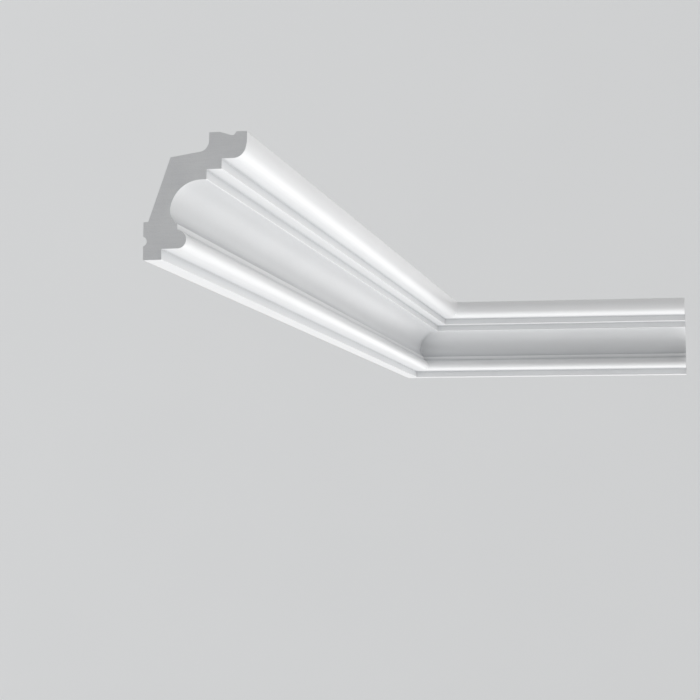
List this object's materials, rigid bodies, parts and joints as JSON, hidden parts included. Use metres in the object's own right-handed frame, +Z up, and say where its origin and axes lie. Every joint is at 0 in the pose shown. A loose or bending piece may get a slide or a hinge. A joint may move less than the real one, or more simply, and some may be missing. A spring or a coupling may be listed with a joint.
{
  "type": "inside-corner cornice moulding",
  "caption": "Classical cornice carried round an inside corner: ovolo, stepped fillets, deep cove, small fillet and bead, with a hollow back, glue grooves and square ends.",
  "frame": {"origin": "the point of the room's corner at the moulding's lower edge, where both wall faces and the mitre meet", "axes": "+Z up to the ceiling; +Y out through the wall behind the short length; the long length runs from the corner along -Y on the wall x = 0, the short one along +X on the wall y = 0"},
  "size_m": [0.358, 1.146, 0.09],
  "materials": {
    "moulding": "smooth white primer over moulded polymer foam"
  },
  "bodies": {
    "root": {"left_length": "moulding", "right_length": "moulding"}
  },
  "joints": []
}
